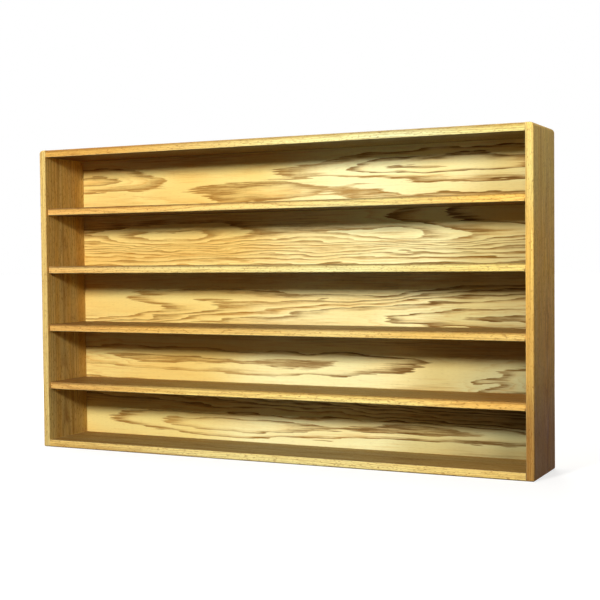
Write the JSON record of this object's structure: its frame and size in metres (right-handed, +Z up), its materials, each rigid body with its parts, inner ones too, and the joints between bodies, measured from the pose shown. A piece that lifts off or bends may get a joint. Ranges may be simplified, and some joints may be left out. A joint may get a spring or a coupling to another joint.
{
  "type": "cd cabinet",
  "caption": "Open oak CD cabinet: a wide shallow case with rows of fixed shelves, a figured plywood back and a hanging cleat, which stands on a surface or hangs on a wall.",
  "frame": {"origin": "middle of the footprint, on the surface that the cabinet stands on", "axes": "+X along the width, to the right as seen from the front; +Y from the open front to the back; +Z up"},
  "size_m": [1.321, 0.184, 0.781],
  "materials": {
    "oak_board": "honey oak under satin lacquer",
    "oak_ply": "oak-faced plywood under satin lacquer",
    "dowel_wood": "plain beech",
    "screw_steel": "zinc plated"
  },
  "bodies": {
    "root": {"left_side": "oak_board", "right_side": "oak_board", "top_board": "oak_board", "bottom_board": "oak_board", "shelf_1": "oak_board", "shelf_2": "oak_board", "shelf_3": "oak_board", "shelf_4": "oak_board", "hanging_cleat": "oak_board", "back_panel": "oak_ply", "dowel_bottom_left_1": "dowel_wood", "dowel_bottom_left_2": "dowel_wood", "dowel_bottom_left_3": "dowel_wood", "dowel_bottom_right_1": "dowel_wood", "dowel_bottom_right_2": "dowel_wood", "dowel_bottom_right_3": "dowel_wood", "dowel_top_left_1": "dowel_wood", "dowel_top_left_2": "dowel_wood", "dowel_top_left_3": "dowel_wood", "dowel_top_right_1": "dowel_wood", "dowel_top_right_2": "dowel_wood", "dowel_top_right_3": "dowel_wood", "cleat_screw_1": "screw_steel", "cleat_screw_2": "screw_steel", "cleat_screw_3": "screw_steel", "cleat_screw_4": "screw_steel", "cleat_screw_5": "screw_steel", "panel_screw_1": "screw_steel", "panel_screw_2": "screw_steel", "panel_screw_3": "screw_steel", "panel_screw_4": "screw_steel", "panel_screw_5": "screw_steel", "panel_screw_6": "screw_steel", "panel_screw_7": "screw_steel", "panel_screw_8": "screw_steel", "panel_screw_9": "screw_steel", "panel_screw_10": "screw_steel", "panel_screw_11": "screw_steel", "panel_screw_12": "screw_steel", "panel_screw_13": "screw_steel", "panel_screw_14": "screw_steel", "panel_screw_15": "screw_steel", "panel_screw_16": "screw_steel", "panel_screw_17": "screw_steel", "panel_screw_18": "screw_steel", "panel_screw_19": "screw_steel", "panel_screw_20": "screw_steel", "panel_screw_21": "screw_steel", "panel_screw_22": "screw_steel", "panel_screw_23": "screw_steel"}
  },
  "joints": []
}
